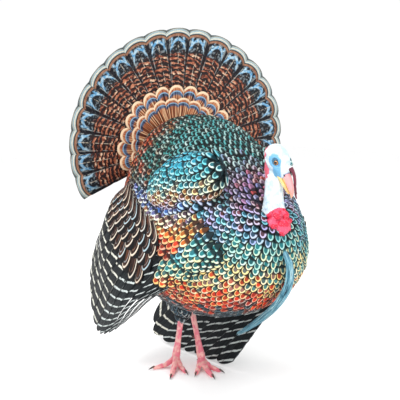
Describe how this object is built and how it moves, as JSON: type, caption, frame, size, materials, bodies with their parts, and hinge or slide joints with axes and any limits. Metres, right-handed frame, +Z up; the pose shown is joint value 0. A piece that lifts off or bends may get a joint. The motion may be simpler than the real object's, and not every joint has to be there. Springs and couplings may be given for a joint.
{
  "type": "wild turkey gobbler model",
  "caption": "Life-size still model of a male wild turkey strutting: tail fanned, body feathers puffed, wings drooped, head drawn back over the breast.",
  "frame": {"origin": "on the floor, under the middle of the bird's box", "axes": "+Z up; the bird faces -Y, so its tail is towards +Y and its left wing towards +X"},
  "size_m": [0.6164, 0.6466, 0.9208],
  "materials": {
    "body_feather": "satin",
    "tail_feather": "matte",
    "flight_feather": "matte",
    "beard_bristle": "matte",
    "bare_skin": "satin",
    "red_wattle": "satin",
    "bill_horn": "satin",
    "eye": "gloss",
    "leg_scale": "satin",
    "claw_horn": "satin"
  },
  "bodies": {
    "root": {"trunk": "body_feather", "rump": "body_feather", "wing_left_coverts": "body_feather", "wing_right_coverts": "body_feather", "wing_left_shoulder": "body_feather", "wing_right_shoulder": "body_feather", "leg_left_thigh": "body_feather", "leg_right_thigh": "body_feather", "tail_fan": "tail_feather", "tail_coverts": "tail_feather", "wing_left_primaries": "flight_feather", "wing_left_secondaries": "flight_feather", "wing_right_primaries": "flight_feather", "wing_right_secondaries": "flight_feather", "beard": "beard_bristle", "head": "bare_skin", "neck": "bare_skin", "caruncles": "red_wattle", "snood": "red_wattle", "bill_upper": "bill_horn", "bill_lower": "bill_horn", "eye_left": "eye", "eye_right": "eye", "leg_left_shank": "leg_scale", "leg_right_shank": "leg_scale", "leg_left_toe_middle": "leg_scale", "leg_left_toe_inner": "leg_scale", "leg_left_toe_outer": "leg_scale", "leg_left_toe_hind": "leg_scale", "leg_right_toe_middle": "leg_scale", "leg_right_toe_inner": "leg_scale", "leg_right_toe_outer": "leg_scale", "leg_right_toe_hind": "leg_scale", "leg_left_claw_middle": "claw_horn", "leg_left_claw_inner": "claw_horn", "leg_left_claw_outer": "claw_horn", "leg_left_claw_hind": "claw_horn", "leg_right_claw_middle": "claw_horn", "leg_right_claw_inner": "claw_horn", "leg_right_claw_outer": "claw_horn", "leg_right_claw_hind": "claw_horn", "leg_left_spur": "claw_horn", "leg_right_spur": "claw_horn"}
  },
  "joints": []
}
